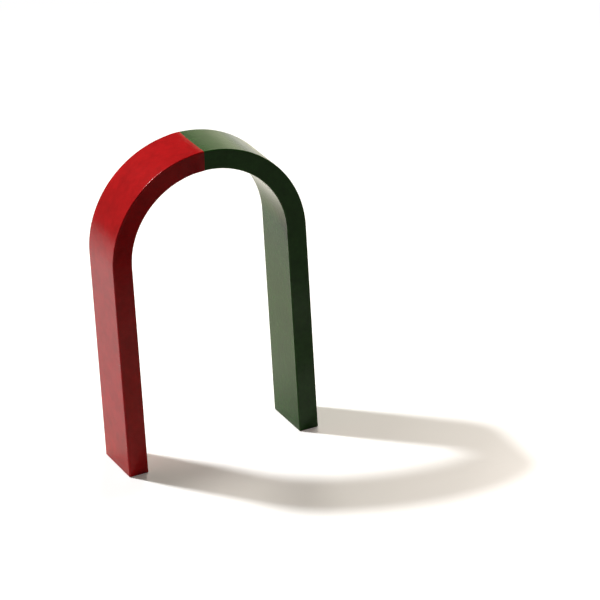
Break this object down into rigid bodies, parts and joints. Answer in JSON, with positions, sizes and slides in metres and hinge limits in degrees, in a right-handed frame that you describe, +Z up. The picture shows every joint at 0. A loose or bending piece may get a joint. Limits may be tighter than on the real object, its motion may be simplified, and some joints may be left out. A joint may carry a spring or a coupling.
{
  "type": "horseshoe magnet",
  "caption": "Horseshoe magnet: a flat steel bar bent into a tall U, painted red and dark green with the colours meeting at the crown. Its pole faces hold iron.",
  "frame": {"origin": "on the floor plane midway between the two pole faces", "axes": "+Z up from the pole faces to the bend, +X from the red leg to the green leg, +Y across the wide side of the bar, away from the picture's viewer"},
  "size_m": [0.07, 0.02, 0.11],
  "materials": {
    "paint": "semi-gloss enamel over steel, red from the left pole to the crown and dark green from the crown to the right pole"
  },
  "bodies": {
    "root": {"magnet": "paint"}
  },
  "joints": []
}
